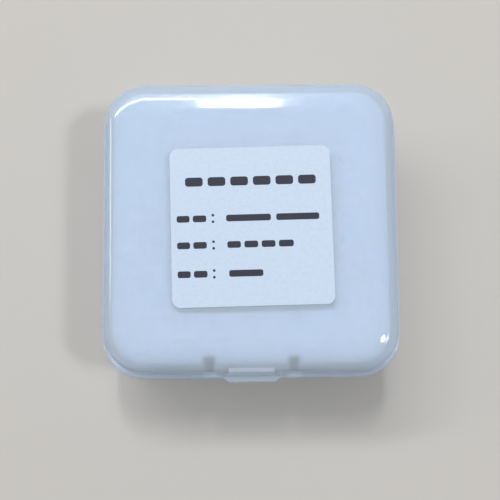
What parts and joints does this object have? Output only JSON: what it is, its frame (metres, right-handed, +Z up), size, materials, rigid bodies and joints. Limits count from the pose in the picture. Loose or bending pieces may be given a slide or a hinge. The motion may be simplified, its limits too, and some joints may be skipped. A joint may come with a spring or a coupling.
{
  "type": "hinged lens case with a plano-convex focusing lens",
  "caption": "Small square translucent plastic case with a hinged lid and a thumb tab, holding a plano-convex lens in a round pocket between white foam layers.",
  "frame": {"origin": "centre of the base's flat underside", "axes": "+Z up through the lid, -Y towards the thumb tab at the front, +Y towards the hinge, +X along the hinge"},
  "size_m": [0.0562, 0.057, 0.0201],
  "materials": {
    "case_plastic": "gloss translucent milky plastic",
    "foam": "matte, fine closed cells",
    "lens_glass": "polished with a fine ground rim",
    "label_paper": "satin coated paper"
  },
  "bodies": {
    "base": {"case_base": "case_plastic", "base_foam": "foam", "pocket_foam": "foam", "focusing_lens": "lens_glass"},
    "lid": {"case_lid": "case_plastic", "lid_foam": "foam", "label": "label_paper"}
  },
  "joints": [
    {"name": "lid_hinge", "type": "hinge", "parent": "base", "child": "lid", "pos_m": [0, 0.0269, 0.0097], "axis": [-1, 0, 0], "range_deg": [0, 140]}
  ]
}
